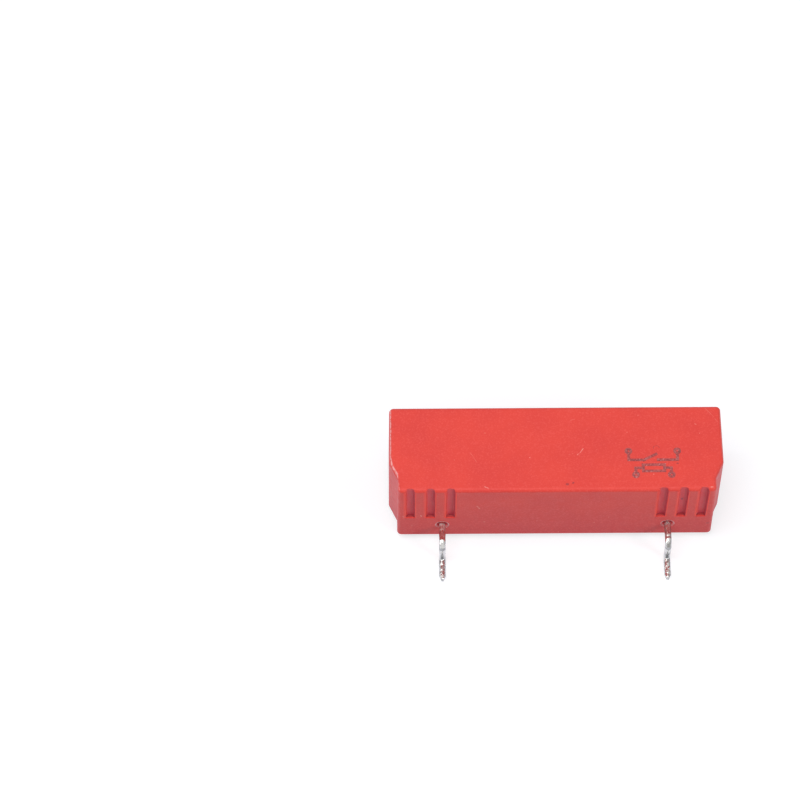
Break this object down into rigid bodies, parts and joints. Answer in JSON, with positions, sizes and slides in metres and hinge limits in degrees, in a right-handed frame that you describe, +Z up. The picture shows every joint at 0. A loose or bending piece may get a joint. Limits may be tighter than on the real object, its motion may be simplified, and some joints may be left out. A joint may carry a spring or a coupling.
{
  "type": "reed relay",
  "caption": "Potted reed relay in a stepped red housing, on bent round wire leads for surface mounting, with a coil and a sealed reed switch inside.",
  "frame": {"origin": "on the board plane that the four feet rest on, below the middle of the housing", "axes": "+X along the housing, -Y towards the side with the coil leads and the grooves, +Y towards the side with the switch leads, +Z up to the marked face"},
  "size_m": [0.03, 0.0176, 0.0088],
  "materials": {
    "housing_plastic": "satin",
    "potting_resin": "gloss",
    "bobbin_plastic": "satin",
    "copper": "satin",
    "tape_film": "gloss",
    "capsule_glass": "gloss",
    "reed_alloy": "satin",
    "contact_metal": "satin",
    "tinned_wire": "gloss",
    "weld_metal": "satin",
    "solder": "gloss"
  },
  "bodies": {
    "case": {"housing": "housing_plastic", "potting": "potting_resin", "bobbin": "bobbin_plastic", "coil_winding": "copper", "winding_tape": "tape_film", "glass_capsule": "capsule_glass", "reed_stem_left": "reed_alloy", "reed_stem_right": "reed_alloy", "switch_lead_left": "tinned_wire", "switch_lead_right": "tinned_wire", "switch_weld_left": "weld_metal", "switch_weld_right": "weld_metal", "coil_lead_left": "tinned_wire", "coil_lead_right": "tinned_wire", "coil_tail_left": "copper", "coil_tail_right": "copper", "coil_solder_left": "solder", "coil_solder_right": "solder"},
    "reed_left": {"reed_blade_left": "reed_alloy", "contact_left": "contact_metal"},
    "reed_right": {"reed_blade_right": "reed_alloy", "contact_right": "contact_metal"}
  },
  "joints": [
    {"name": "reed_left_flex", "type": "hinge", "parent": "case", "child": "reed_left", "pos_m": [-0.00584, 0, 0.00412], "axis": [0, -1, 0], "range_deg": [0, 0.75], "stiffness_Nm_per_rad": 0.07},
    {"name": "reed_right_flex", "type": "hinge", "parent": "case", "child": "reed_right", "pos_m": [0.00584, 0, 0.00458], "axis": [0, -1, 0], "range_deg": [0, 0.75], "stiffness_Nm_per_rad": 0.07}
  ]
}
